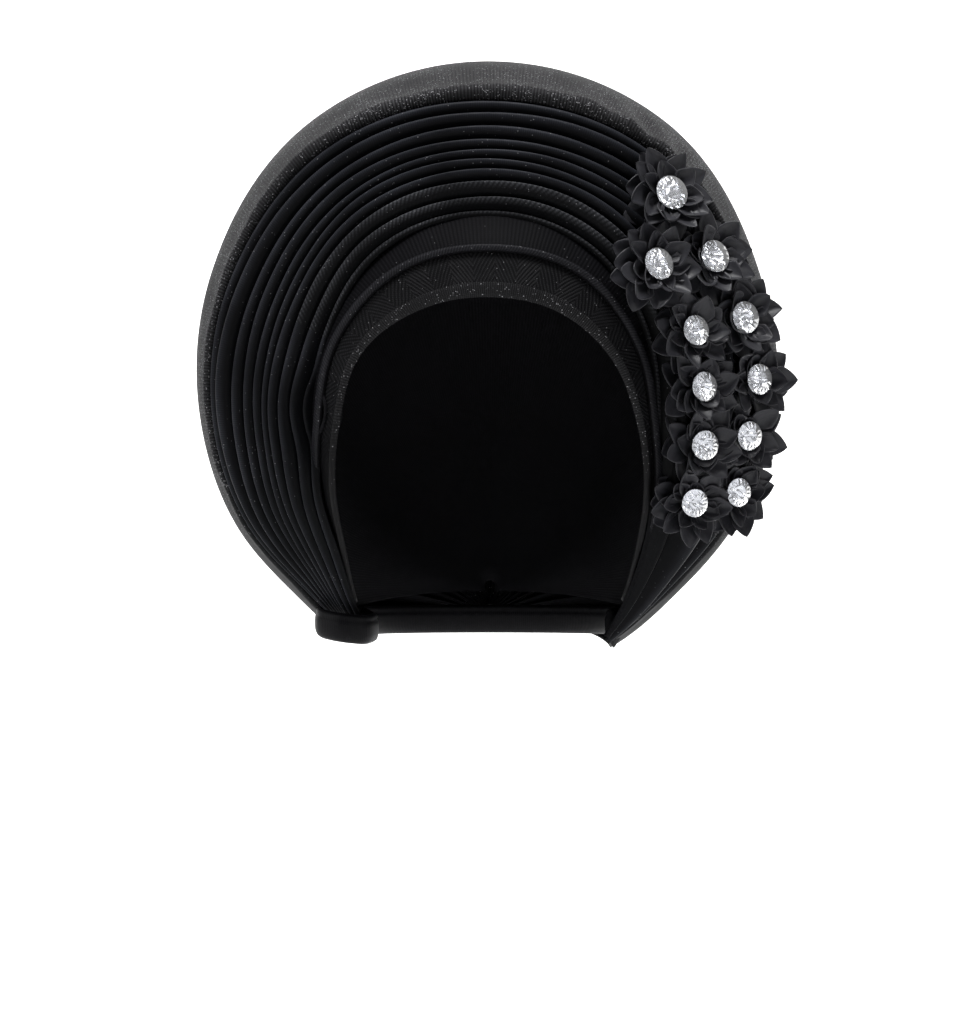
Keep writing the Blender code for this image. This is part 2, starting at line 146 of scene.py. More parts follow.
# The first corner of each face of a grid of rows by stations.
def gridCorners(rows, stations):
    return (np.arange(rows - 1)[:, None] * stations + np.arange(stations - 1)[None, :]).ravel()


# The faces of a closed leaf: the front grid, the back grid after it, and the four edges.
def leafFaces(rows, stations):
    back = rows * stations
    corner = gridCorners(rows, stations)
    front = np.stack((corner, corner + stations, corner + stations + 1, corner + 1), axis=1)
    faces = [front, front[:, ::-1] + back]
    border = (np.arange(stations), (rows - 1) * stations + np.arange(stations)[::-1],
              (np.arange(rows) * stations)[::-1], np.arange(rows) * stations + stations - 1)
    for edge in border:
        a, b = edge[:-1], edge[1:]
        faces.append(np.stack((a, b, b + back, a + back), axis=1))
    return np.concatenate(faces)


def addObject(name, data):
    made = bpy.data.objects.new(name, data)
    bpy.context.scene.collection.objects.link(made)
    return made


def newMesh(name, points, faces, finishes, smooth=True):
    mesh = bpy.data.meshes.new(name)
    mesh.from_pydata(points, [], faces)
    mesh.polygons.foreach_set("use_smooth", [smooth] * len(faces))
    for finish in finishes:
        mesh.materials.append(finish)
    return mesh


# How far each point lies from the grid's first one along an axis, measured on the cloth.
def runOf(grid, axis):
    steps = np.linalg.norm(np.diff(grid, axis=axis), axis=2)
    return np.cumsum(np.pad(steps, ((0, 0), (1, 0)) if axis else ((1, 0), (0, 0))), axis=axis)


# A closed cloth between two grids, with its weave's UV in metres. The first rows can have a
# finish of their own, over a span in shares of the cloth's length. Painted light, from 0 for
# full painted shade to 1, goes to the crest attribute, which the finish reads. It gives the
# piece and its area.
def gridMesh(name, outside, inside, finish, firstRows=0, edgeFinish=None, edgeSpan=(0, 1), paintedLight=None):
    rows, stations = outside.shape[:2]
    points = np.concatenate((outside.reshape(-1, 3), inside.reshape(-1, 3)))
    faces = leafFaces(rows, stations)
    if (gridNormals(outside) * (outside - inside)).sum() < 0:
        faces = faces[:, ::-1]
    finishes = (finish, reverseCloth, edgeFinish or finish)
    mesh = newMesh(name, points.tolist(), faces.tolist(), finishes)
    down = runOf(outside, 0)
    along = runOf(outside, 1).mean(axis=0, keepdims=True) + 0 * down
    flat = np.stack((along, down), axis=-1).reshape(-1, 2)
    weave = mesh.uv_layers.new(name="weave")
    weave.data.foreach_set("uv", np.concatenate((flat, flat))[faces.ravel()].ravel().astype(np.float32))
    # Painted light: the crest attribute holds how much light is painted in, 0 being full painted shade; the
    # inside points get 0.
    if paintedLight is not None:
        paintedLightMask = mesh.attributes.new("crest", "FLOAT", "POINT")
        heights = np.concatenate((paintedLight.ravel(), 0 * paintedLight.ravel()))
        paintedLightMask.data.foreach_set("value", heights.astype(np.float32))
    corner = gridCorners(rows, stations)
    share = corner % stations / stations
    edged = (corner < firstRows * stations) & (share >= edgeSpan[0]) & (share <= edgeSpan[1])
    kinds = np.ones(len(faces), int)  # the reverse cloth, but for the front faces
    kinds[: len(corner)] = np.where(edged, 2, 0)
    mesh.polygons.foreach_set("material_index", kinds)
    mesh.update()
    size = np.linalg.norm(np.cross(np.diff(outside, axis=0)[:, :-1], np.diff(outside, axis=1)[:-1]), axis=2)
    return addObject(name, mesh), float(size.sum())


# A worn cloth is a sheet: its area by the length that such a turn of cloth has.
def wornSheet(piece, area, node, length, restsOn):
    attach(piece, "root")
    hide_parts(node)
    print(f"{piece.name}: {area / length:.3f} m by {length:.3f} m of cloth laid flat")


# What each cloth looks like: its dark and light colours, the pitch of its ribs in metres and
# their slant in degrees, how much of the light colour is left between the ribs (plain), how
# many specks of glitter there are and how bright they are, how rough, how deep the weave is
# (lift), how glossy, how far the weave's slant runs before it turns back (chevron), and how
# much of the weave is left under painted shade, in the creases and at the shaded ends.
clothLook = {
    "black": {
        "colour": (0.0012, 0.0013, 0.0017), "light": (0.0245, 0.0260, 0.0315), "rib": 0.0008,
        "plain": 0.55, "specks": 0.016, "glint": 0.15, "rough": 0.40, "lift": 0.2, "gloss": 0.035,
        "weaveInPaintedShade": 0.04,
    },
    "corded": {
        "colour": (0.0012, 0.0013, 0.0016), "light": (0.0480, 0.0495, 0.0550), "rib": 0.0019, "slant": 35,
        "plain": 0.25, "specks": 0.018, "glint": 0.16, "rough": 0.40, "lift": 0.6, "gloss": 0.035,
        "weaveInPaintedShade": 0.04,
    },
    "band": {
        "colour": (0.0018, 0.0018, 0.0022), "light": (0.0058, 0.0058, 0.0068), "rib": 0.0017,
        "specks": 0.006, "glint": 0.10, "rough": 0.60, "lift": 0.3, "gloss": 0.02,
    },
    "lip": {
        "colour": (0.0040, 0.0040, 0.0050), "light": (0.0190, 0.0190, 0.0220), "rib": 0.0012, "slant": 30,
        "specks": 0.020, "glint": 0.16, "rough": 0.50, "lift": 0.3, "gloss": 0.05,
    },
    "net": {
        "colour": (0.0016, 0.0016, 0.0019), "light": (0.0096, 0.0096, 0.0105), "rib": 0.0016, "slant": 32,
        "specks": 0.012, "glint": 0.13, "rough": 0.55, "lift": 0.8, "gloss": 0.03,
        "chevron": 0.011, "weaveInPaintedShade": 0.05,
    },
    "hem": {
        "colour": (0.0030, 0.0030, 0.0034), "light": (0.0160, 0.0160, 0.0173), "rib": 0.0012,
        "specks": 0.060, "glint": 0.26, "rough": 0.50, "lift": 0.6, "gloss": 0.06, "weaveInPaintedShade": 0.05,
    },
    "crown": {
        "colour": (0.0060, 0.0060, 0.0066), "light": (0.0310, 0.0310, 0.0330), "rib": 0.0011,
        "specks": 0.135, "glint": 0.28, "rough": 0.55, "lift": 0.4, "gloss": 0.05, "weaveInPaintedShade": 0.08,
    },
    "tie": {
        "colour": (0.0024, 0.0024, 0.0030), "light": (0.0052, 0.0052, 0.0062), "rib": 0.0009,
        "rough": 0.50, "lift": 0.25, "gloss": 0.08,
    },
    "reverse": {
        "colour": (0.0030, 0.0030, 0.0036), "light": (0.0066, 0.0066, 0.0078), "rib": 0.0014,
        "rough": 0.80, "lift": 0.3, "gloss": 0.04,
    },
}

# What the cloths share where their own look says nothing else. A wave texture of scale 0.314
# has one band a metre. The threads across the ribs lie closer than the ribs do. A metre has
# about as many mottled areas as patches says.
weaveLook = {
    "slant": 0, "plain": 0, "specks": 0.0, "glint": 0.10,
    "oneBand": 0.314, "threadPitch": 0.6, "ribWaver": 0.9, "threadWaver": 0.5, "threadLow": 0.55,
    "patches": 30.0, "patchLow": 0.35, "weaveFade": (0.35, 1), "bumpDepth": 0.0004,
    "speckSize": 0.00055, "speckEdge": (0.30, 0.45), "speckSpread": (0.3, 1.7), "speckLow": 0.25,
    # The fades map the painted light mask, and the specks keep a share of their strength in full painted
    # shade.
    "speckRough": 0.35, "speckFade": (0.05, 0.6), "speckInPaintedShade": 0.08,
}


# Gives a node its values: a socket is linked to its input, another value is set on it, and
# what isn't an input is a setting of the node.
def fillNode(made, values):
    for key, value in values.items():
        if key not in made.inputs.keys():
            setattr(made, key, value)
        elif isinstance(value, bpy.types.NodeSocket):
            made.id_data.links.new(value, made.inputs[key])
        else:
            made.inputs[key].default_value = value
    return made


# A new material, its shader, and what adds a node with its values to it.
def newFinish(name):
    material = bpy.data.materials.new(name)
    material.use_nodes = True
    nodes = material.node_tree.nodes

    def node(kind, **values):
        return fillNode(nodes.new(kind), values)

    return material, nodes["Principled BSDF"], node


def plainFinish(name, values):
    material, shader, _ = newFinish(name)
    fillNode(shader, values)
    return material


# Woven cloth: ribs and threads along the weave, and silver specks of mixed brightness.
def clothFinish(name, kind):
    look = {**weaveLook, **clothLook[kind]}
    material, shader, node = newFinish(name)
    links = material.node_tree.links

    def ranged(source, low, high, toLow, toHigh):
        ends = {"Value": source, "From Min": low, "From Max": high, "To Min": toLow, "To Max": toHigh}
        return node("ShaderNodeMapRange", **ends).outputs["Result"]

    def combined(first, second, operation="MULTIPLY"):
        made = node("ShaderNodeMath", operation=operation)
        links.new(first, made.inputs[0])
        links.new(second, made.inputs[1])
        return made.outputs[0]

    spot = node("ShaderNodeTexCoord").outputs
    flat = spot["UV"]
    if "chevron" in look:
        apart = node("ShaderNodeSeparateXYZ", Vector=flat).outputs
        there = node("ShaderNodeMath", operation="PINGPONG")
        there.inputs[1].default_value = look["chevron"]
        links.new(apart["X"], there.inputs[0])
        flat = node("ShaderNodeCombineXYZ", X=there.outputs[0], Y=apart["Y"]).outputs["Vector"]
    turned = node("ShaderNodeMapping", Vector=flat, Rotation=(0, 0, math.radians(look["slant"])))
    waves = []
    for direction, pitch, waverBy in (("X", look["rib"], look["ribWaver"]),
                                      ("Y", look["threadPitch"] * look["rib"], look["threadWaver"])):
        wave = node("ShaderNodeTexWave", Vector=turned.outputs["Vector"], bands_direction=direction,
                    Scale=look["oneBand"] / pitch, Distortion=waverBy)
        waves.append(wave.outputs["Fac"])
    weave = combined(waves[0], ranged(waves[1], 0, 1, look["threadLow"], 1))
    weave = ranged(weave, 0, 1, look["plain"], 1)
    noise = node("ShaderNodeTexNoise", Vector=spot["Object"], Scale=look["patches"], Detail=4.0)
    patches = noise.outputs["Fac"]
    mottle = ranged(patches, 0.3, 0.7, look["patchLow"], 1)
    cells = node("ShaderNodeTexVoronoi", Vector=spot["Object"], Scale=1 / look["speckSize"]).outputs
    chance = node("ShaderNodeSeparateColor", Color=cells["Color"]).outputs
    few, many = (share * look["specks"] for share in look["speckSpread"])
    chosen = combined(chance["Red"], ranged(patches, 0.35, 0.65, few, many), "LESS_THAN")
    near = ranged(cells["Distance"], *look["speckEdge"], 1, 0)
    speck = combined(combined(chosen, near), ranged(chance["Green"], 0, 1, look["speckLow"], 1))
    # Painted shade: where the crest attribute is low the weave and specks fade to the dark colour, and where
    # it is high they show as painted light.
    if "weaveInPaintedShade" in look:  # weave and specks show on the crests, and the creases stay dark
        paintedLightMask = node("ShaderNodeAttribute", attribute_name="crest").outputs["Fac"]
        weave = combined(weave, ranged(paintedLightMask, *look["weaveFade"], look["weaveInPaintedShade"], 1))
        speck = combined(speck, ranged(paintedLightMask, *look["speckFade"], look["speckInPaintedShade"], 1))
    tone = node("ShaderNodeMix", data_type="RGBA", Factor=combined(weave, mottle),
                A=(*look["colour"], 1), B=(*look["light"], 1))
    silver = (look["glint"], look["glint"], 1.05 * look["glint"], 1)
    glint = node("ShaderNodeMix", data_type="RGBA", Factor=speck, A=tone.outputs["Result"], B=silver)
    bump = node("ShaderNodeBump", Height=weave, Strength=look["lift"], Distance=look["bumpDepth"])
    fillNode(shader, {
        "Base Color": glint.outputs["Result"], "Normal": bump.outputs["Normal"],
        "Roughness": ranged(speck, 0, 1, look["rough"], look["speckRough"]),
        "Specular IOR Level": look["gloss"],
    })
    return material


reverseCloth = clothFinish("reverseCloth", "reverse")


# The pleats: each ridge's share of the way from the fan's inner edge to the rim, at the
# top, left, lower left and right, how full the roll stands, and how deep the crease after
# it is on the right.
pleatColumns = ("top", "left", "lowLeft", "right", "full", "rightDip")
pleats = (
    (0.014, 0.020, 0.070, 0.020, 0.55, 0.8),
    (0.096, 0.100, 0.190, 0.080, 0.90, 0.1),
    (0.202, 0.210, 0.310, 0.150, 1.00, 0.1),
    (0.307, 0.300, 0.420, 0.220, 1.00, 1.0),
    (0.395, 0.385, 0.510, 0.460, 0.90, 0.1),
    (0.482, 0.474, 0.590, 0.530, 0.85, 0.1),
    (0.570, 0.577, 0.670, 0.600, 1.00, 1.0),
    (0.675, 0.685, 0.760, 0.800, 1.00, 0.1),
    (0.816, 0.830, 0.860, 0.870, 1.20, 0.1),
    (0.935, 0.940, 0.950, 0.940, 0.90, 1.0),
)
pleatTable = [dict(zip(pleatColumns, row)) for row in pleats]

# The broad folds low on the right, as shares of the way to the rim, and how much painted light their tops
# get.
broadColumns = ("from", "to", "paintedLit")
broadFolds = ((0.0, 0.26, 0.0), (0.26, 0.72, 0.8), (0.72, 0.98, 0.7))

# Turns, spans, pocketSpread and tuckMost are in degrees, length, pocketDepth, lean and tuck
# in metres, and the rest are shares, powers or counts. The pocket is the dark hollow by the
# left temple, with painted shade in it, and the lean presses the pleats back over the brow.
fanLook = {
    "length": 0.62, "first": -145.0, "last": 150.5, "stations": 340, "rowsEach": 12,
    "sideSpan": 90, "rightFrom": 20, "lowFrom": 95, "lowSpan": 45, "lowEase": 1.3,
    "swell": 1.15, "bow": 0.05, "wander": 0.008, "uneven": 0.15, "widest": 0.125,
    "crest": 0.72, "crestRange": (0.35, 0.86), "firstFold": -0.012, "lastFold": 0.99,
    "creaseDepth": 0.55, "shallowCrease": 0.85,
    "smoothFrom": 82.0, "smoothSpan": 22, "smoothShare": 0.97, "broad": 0.36,
    "pocketTurn": -84.0, "pocketSpread": 13.0, "pocketShare": 0.120, "pocketDepth": 0.012,
    "pocketWide": 0.105, "pocketReach": 0.25, "pocketPaintedShade": 1.2,
    "lean": 0.0042, "leanShare": 0.12, "leanSpan": 150,
    "tuck": 0.0045, "tuckRows": (0.0, 0.3, 0.6, 0.85), "tuckMost": 80,
    "cordedPleats": 3, "cordedSpan": (0.28, 0.80),
}


def towardsRight(turns):
    return unit((turns - fanLook["rightFrom"]) / fanLook["sideSpan"])


# Ridge and fold shares for every station, and how deep each fold goes.
def fanLines(turns):
    look = fanLook
    leftSide = unit(-turns / look["sideSpan"])
    lowSide = unit((-turns - look["lowFrom"]) / look["lowSpan"]) ** look["lowEase"]
    rightSide = towardsRight(turns)
    ridges, dips = [], []
    for index, pleat in enumerate(pleatTable):
        ridge = pleat["top"] + leftSide * (pleat["left"] - pleat["top"])
        ridge = ridge + lowSide * (pleat["lowLeft"] - pleat["left"])
        ridge = ridge + rightSide * (pleat["right"] - pleat["top"])
        drift = look["wander"] * waver(np.radians(turns), seed=20 + index, scale=2.2)
        ridges.append(ridge + drift * (0.3 if index == 0 else 1.0))
        dips.append(1.0 + rightSide * (pleat["rightDip"] - 1.0))
    ridges = np.array(ridges)
    pocket = hump(turns, look["pocketTurn"], look["pocketSpread"])
    ridges = ridges + look["pocketWide"] * pocket * np.exp(-unit(ridges) / look["pocketReach"])
    beyond = np.concatenate((ridges[1:], 2.0 - ridges[-1:]))
    folds = np.minimum(ridges + (1 - look["crest"]) * (beyond - ridges), look["lastFold"])
    folds = np.concatenate((0 * folds[:1] + look["firstFold"], folds))
    return ridges, folds, np.array(dips)


# A point's distance and depth at a share of the way from the inner edge to the rim.
def fanSurface(turns, share, height):
    inner, outer = sizeAt("fan", turns), sizeAt("rim", turns)
    front, back = sizeAt("fanY", turns), sizeAt("rimY", turns)
    chordOut, chordBack = outer - inner, back - front
    size = np.hypot(chordOut, chordBack)
    out, along = chordBack / size, -chordOut / size
    rise = fanLook["bow"] * size * np.sin(np.pi * unit(share)) + height
    return inner + share * chordOut + rise * out, front + share * chordBack + rise * along


# Rolls that rise gently from the face side, crest, and drop into a tight crease. It gives the
# share, height and painted light of each row of points: lit crests, painted shade in creases.
def pleatRolls(turns, length, smoothed):
    look = fanLook
    ridges, folds, dips = fanLines(turns)
    shares, heights, paintedLight = [], [], []
    for index, pleat in enumerate(pleatTable):
        low, high = folds[index], folds[index + 1]
        top = 0.5 * np.minimum(high - low, look["widest"])
        uneven = 1 + look["uneven"] * waver(np.radians(turns), seed=60 + index, scale=3.0)
        full = pleat["full"] * uneven * (1 - look["smoothShare"] * smoothed)
        before = dips[index - 1] if index else 1.0 + 0 * turns
        bases = [top * (look["shallowCrease"] * full * (1 - dip) - look["creaseDepth"] * dip)
                 for dip in (before, dips[index])]
        crest = np.clip((ridges[index] - low) / (high - low), *look["crestRange"])
        for part in np.linspace(0, 1, look["rowsEach"], endpoint=pleat is pleatTable[-1]):
            # The powers make the inner side long and soft, and the outer one steep.
            inward = (1 - unit(1 - part / crest) ** 1.6) ** 0.85
            outward = (1 - unit((part - crest) / (1 - crest)) ** 2.4) ** 0.55
            roll = np.where(part < crest, inward, outward)
            base = bases[0] + (bases[1] - bases[0]) * part
            heights.append(look["swell"] * length * (base + (top * full - base) * roll))
            shares.append(low + part * (high - low))
            # Painted light on the crest, falling to painted shade in the creases and over the smoothed
            # pleats.
            paintedLight.append(np.where(part < crest, (part / crest) ** 1.6, outward**0.7) * (1 - smoothed))
    return np.array(shares), np.array(heights), np.array(paintedLight)


def makePleatFan():
    look = fanLook
    turns = stationTurns(look)
    span = sizeAt("rim", turns) - sizeAt("fan", turns)
    length = np.hypot(span, sizeAt("rimY", turns) - sizeAt("fanY", turns))
    smoothed = unit((turns - look["smoothFrom"]) / look["smoothSpan"])
    shares, heights, paintedLight = pleatRolls(turns, length, smoothed)
    for row in broadFolds:
        fold = dict(zip(broadColumns, row))
        low, wide = fold["from"], fold["to"] - fold["from"]
        arch = np.sin(np.pi * unit((shares - low) / wide) ** 1.2)
        heights += look["broad"] * wide * length * towardsRight(turns) ** 1.5 * arch**1.4
        # Painted light on the tops of the broad folds.
        paintedLight += fold["paintedLit"] * smoothed * arch**2
    pocket = hump(turns, look["pocketTurn"], look["pocketSpread"])
    nearBand = hump(unit(shares), 0, look["pocketShare"])
    heights -= look["pocketDepth"] * pocket * nearBand
    # Painted shade in the pocket next to the brow band.
    paintedLight *= 1 - unit(look["pocketPaintedShade"] * pocket * nearBand)
    upright = unit(1 - np.abs(turns) / look["leanSpan"]) ** 0.5
    heights -= look["lean"] * upright * hump(unit(shares), 0, look["leanShare"])
    distance, depth = fanSurface(turns[None, :], shares, heights)
    top = place(turns[None, :], distance, depth)
    seat = np.minimum(capAngle(turns, distance[0] + look["tuck"]), look["tuckMost"])
    under = place(turns, *capFront(turns, seat, form["layerGap"]))
    tucked = [under + part * (top[0] - under) for part in look["tuckRows"]]
    outside = np.concatenate((np.array(tucked), top))
    normals = gridNormals(outside)
    inside = outside + form["cloth"] * normals * np.sign(normals[:, :, 1].sum())
    smooth = clothFinish("blackGlitterCloth", "black")
    corded = clothFinish("cordedEdge", "corded")
    tuckedRows = len(look["tuckRows"])
    edgeRows = tuckedRows + look["cordedPleats"] * look["rowsEach"]
    # The tucked rows under the first pleat get full painted shade.
    paintedLight = np.concatenate((np.zeros((tuckedRows, len(turns))), paintedLight))
    edge = (edgeRows, corded, look["cordedSpan"])
    made = gridMesh("pleatedFront", outside, inside, smooth, *edge, paintedLight)
    wornSheet(*made, "pleat_fan", look["length"], ["brow_band"])


# The brow band lies on the cap with a rolled lip at its lower edge, which drops a little at
# the top. Turns, dropSpan and tucks are in degrees, seat is a share of the layer gap, and
# the other lengths are in metres.
browLook = {
    "length": 0.42, "first": -142.0, "last": 146.0, "stations": 420, "rows": 44,
    "lip": 0.0017, "lipWidth": 0.0018, "lipSteps": 17, "lipRows": 11,
    "drop": 0.0015, "dropSpan": 70, "dent": 0.0005, "rise": 0.0006,
    "tuck": 12.0, "tuckMost": 84.0, "seat": 0.6, "under": 0.0002,
}


def makeBrowBand():
    look = browLook
    turns = stationTurns(look)
    lower = sizeAt("brow", turns) - look["drop"] * np.exp(-(turns / look["dropSpan"]) ** 4)
    width = sizeAt("fan", turns) - lower
    begin = capAngle(turns, lower)
    end = np.minimum(capAngle(turns, sizeAt("fan", turns)) + look["tuck"], look["tuckMost"])
    arc = np.maximum(width * 1.3, 0.003)  # the band's width over the cap's round
    roll = np.minimum(look["lipWidth"] / arc, 0.45)
    size = np.minimum(1.0, 0.45 + width / 0.025)  # the lip thins where the band narrows
    dents = look["dent"] * waver(np.radians(turns), seed=5, scale=9.0)
    seat = form["layerGap"] * look["seat"]
    lipSteps, bandSteps = look["lipSteps"], look["rows"] - 1 - look["lipSteps"]
    rowsOut, rowsIn = [], []
    for step in range(look["rows"]):
        if step <= lipSteps:
            part = roll * step / lipSteps
        else:
            part = roll + (1 - roll) * (step - lipSteps) / bandSteps
        across = unit(part / roll)
        bulge = np.sqrt(unit(1 - (2 * across - 1) ** 2))
        hollow = 0.5 * hump(part / roll, 1.25, 0.3)
        dent = dents * unit(part - roll)
        lip = size * look["lip"] * (bulge**0.8 - 0.2 * hollow)
        height = form["cloth"] + look["rise"] * part + lip + dent
        angle = begin + part * (end - begin)
        rowsOut.append(place(turns, *capFront(turns, angle, seat + height)))
        rowsIn.append(place(turns, *capFront(turns, angle, seat - look["under"])))
    ribbed = clothFinish("ribbedBand", "band")
    rolled = clothFinish("rolledLip", "lip")
    made = gridMesh("browBand", np.array(rowsOut), np.array(rowsIn), ribbed, look["lipRows"], rolled)
    wornSheet(*made, "brow_band", look["length"], ["net_cap"])


# How the backs sweep to the nape: lengths in metres at the top and at the lowest section.
sweeps = {
    "crown": {
        "start": (0.110, 0.048), "end": (0.095, 0.050), "bulge": (0.050, 0.022),
        "nape": (0, 0.096, -0.188),
    },
    "cap": {
        "start": (0.080, 0.033), "end": (0.090, 0.034), "bulge": (0.040, 0.014),
        "nape": (0, 0.084, -0.178),
    },
}
lowestTurn = 150  # near where the sections end, in degrees from the top
napeFan = 0.62  # the share of its turn that each line still has at the nape


# Rows of points from the sections' sides back to where they meet at the nape.
def backCurve(turns, start, sweep, shares):
    low = 0.5 - 0.5 * np.cos(np.radians(180 / lowestTurn * turns))
    lengths = {}
    for key in ("start", "end", "bulge"):
        atTop, atLowest = sweep[key]
        lengths[key] = (atTop + (atLowest - atTop) * low)[:, None]
    nape = np.array(sweep["nape"], float)
    angle = np.radians(napeFan * turns)
    spread = np.stack((np.sin(angle), 0 * angle, np.cos(angle)), axis=1)
    pull = start + lengths["start"] * np.array((0, 1, 0))
    hold = nape + spread * lengths["end"] + lengths["bulge"] * np.array((0, 1, 0))
    rows = []
    for share in shares:
        rest = 1 - share
        row = rest**3 * start + 3 * rest**2 * share * pull + 3 * rest * share**2 * hold + share**3 * nape
        rows.append(row)
    return np.array(rows)


# How light the cloth is along its length: dark towards the ends, which lie in shadow.
def darkEnds(turns, look, rows):
    low = np.clip((np.abs(turns) - look["darkFrom"]) / look["darkSpan"], 0, look["darkMost"])
    return (1 - look["darkShare"] * low) + np.zeros((rows, 1))


# The gathers deepen towards the nape, and the pucker is a patch of fine ripples at the rim.
crownLook = {
    "length": 0.62, "first": -145.0, "last": 151.0, "stations": 460,
    "rimSteps": 34, "backSteps": 70, "backEnd": 0.985,
    "gathers": 27, "gatherDepth": 0.0030, "gatherFrom": 0.18, "gatherSpan": 0.6,
    "puckerTurn": 27.0, "puckerSpread": 9.0, "puckerCount": 46, "pucker": 0.0010,
    "rimGap": 0.0006, "soft": 0.0006, "darkFrom": 92.0, "darkSpan": 30, "darkMost": 1, "darkShare": 0.93,
}

# The rim sheet: shares of the way from rim to edge, outward and back.
rimRows = ((0.00, 0.00), (0.08, -0.035), (0.20, -0.055), (0.28, -0.03), (0.34, 0.06), (0.42, 0.16),
           (0.54, 0.30), (0.66, 0.44), (0.78, 0.59), (0.90, 0.78), (1.00, 1.00))


# The rim rows as smooth lines: spread evenly, then rounded at the kinks between them.
def rimLines():
    lines = []
    steps = np.linspace(0, len(rimRows) - 1, crownLook["rimSteps"])
    for column in zip(*rimRows):
        line = np.interp(steps, np.arange(len(rimRows)), column)
        for _ in range(3):
            line[1:-1] = 0.25 * line[:-2] + 0.5 * line[1:-1] + 0.25 * line[2:]
        lines.append(line)
    return lines


def makeCrown():
    look = crownLook
    turns = stationTurns(look)
    angles = np.radians(turns)
    rim, edge = sizeAt("rim", turns), sizeAt("edge", turns)
    rimY, edgeY = sizeAt("rimY", turns), sizeAt("edgeY", turns)
    puckers = look["pucker"] * hump(turns, look["puckerTurn"], look["puckerSpread"])
    softness = look["soft"] * waver(angles, seed=91, scale=8.0)
    rows = []
    for out, back in zip(*rimLines()):
        ripple = np.sin(angles * look["puckerCount"] + 3.0 * out) * math.sin(math.pi * min(1, out * 1.4))
        distance = rim + look["rimGap"] + out * (edge - rim) + puckers * ripple
        distance = distance + softness * math.sin(math.pi * out)
        rows.append(place(turns, distance, rimY + back * (edgeY - rimY)))
    shares = np.linspace(0, look["backEnd"], look["backSteps"])[1:]
    back = backCurve(turns, rows[-1], sweeps["crown"], shares)
    middle = np.array((0, 0, -faceMiddle))
    outward = (back - middle) / np.linalg.norm(back - middle, axis=2, keepdims=True)
    waves = angles * look["gathers"] + 0.9 * waver(angles, seed=33, scale=4.0)
    fold = np.sin(waves[None, :] + 0.5 * shares[:, None]) * look["gatherDepth"]
    begun = unit((shares - look["gatherFrom"]) / look["gatherSpan"])
    fold = fold * (begun * np.sin(np.pi * shares) ** 0.7)[:, None]
    inside = np.concatenate((np.array(rows), back + outward * fold[:, :, None]))
    outside = inside - form["cloth"] * gridNormals(inside)
    glitter = clothFinish("crownGlitterCloth", "crown")
    # Painted shadow, darker towards the ends, goes in as the painted light mask.
    tones = darkEnds(turns, look, len(inside))
    made = gridMesh("crownCloth", outside, inside, glitter, paintedLight=tones)
    wornSheet(*made, "crown_wrap", look["length"], ["pleat_fan", "net_cap"])


# The hem is a thin roll near the face edge: its height in metres, place and spread in degrees.
netLook = {
    "length": 0.55, "first": -142.0, "last": 142.0, "stations": 320,
    "frontSteps": 46, "backSteps": 44, "backEnd": 0.98,
    "hem": 0.0014, "hemAt": 5, "hemSpread": 3.5, "hemRows": 3,
    "darkFrom": 85.0, "darkSpan": 30, "darkMost": 0.95, "darkShare": 1,
}


def makeNetCap():
    look = netLook
    turns = stationTurns(look)
    rows = []
    for angle in np.linspace(0, 90, look["frontSteps"]):
        hem = look["hem"] * hump(angle, look["hemAt"], look["hemSpread"])
        rows.append(place(turns, *capFront(turns, angle, hem)))
    shares = np.linspace(0, look["backEnd"], look["backSteps"])[1:]
    inside = np.concatenate((np.array(rows), backCurve(turns, rows[-1], sweeps["cap"], shares)))
    outside = inside - form["net"] * gridNormals(inside)
    net, hem = clothFinish("glitterNet", "net"), clothFinish("glitterHem", "hem")
    # Painted shadow, darker towards the ends, goes in as the painted light mask.
    tones = darkEnds(turns, look, len(inside))
    made = gridMesh("netCap", outside, inside, net, look["hemRows"], hem, paintedLight=tones)
    wornSheet(*made, "net_cap", look["length"], ["brow_band"])


makeNetCap()
makeBrowBand()
makePleatFan()
makeCrown()
print("cloth made")

# The nape tie: a flat loop with one crease along it, and points along its middle, in metres.
tieLook = {"length": 0.26, "height": 0.0125, "thickness": 0.0045, "steps": 160, "rows": 15, "backRoom": 0.02,
           "crease": 0.25, "creaseAt": 0.55, "creaseSpread": 0.12}
tiePath = (
    (-0.073, -0.004, -0.189), (-0.0715, -0.0125, -0.19), (-0.064, -0.018, -0.1915),
    (-0.055, -0.016, -0.1925), (-0.0505, -0.005, -0.192), (-0.052, 0.014, -0.191),
    (-0.055, 0.032, -0.19), (-0.051, 0.054, -0.19), (-0.034, 0.073, -0.19),
    (0.0, 0.082, -0.19), (0.034, 0.073, -0.19), (0.051, 0.054, -0.19),
    (0.055, 0.034, -0.19), (0.052, 0.018, -0.1905),
)


# A smooth line through the points, as evenly spaced ones.
def smoothPath(points, count):
    points = np.array(points, float)
    knots = np.concatenate(((0,), np.cumsum(np.linalg.norm(np.diff(points, axis=0), axis=1))))
    slopes = np.gradient(points, knots, axis=0)
    at = np.linspace(0, knots[-1], count)
    low = np.clip(np.searchsorted(knots, at) - 1, 0, len(knots) - 2)
    span = (knots[low + 1] - knots[low])[:, None]
    part = ((at - knots[low]) / span[:, 0])[:, None]
    return smoothStep(points[low], points[low + 1], slopes[low] * span, slopes[low + 1] * span, part)


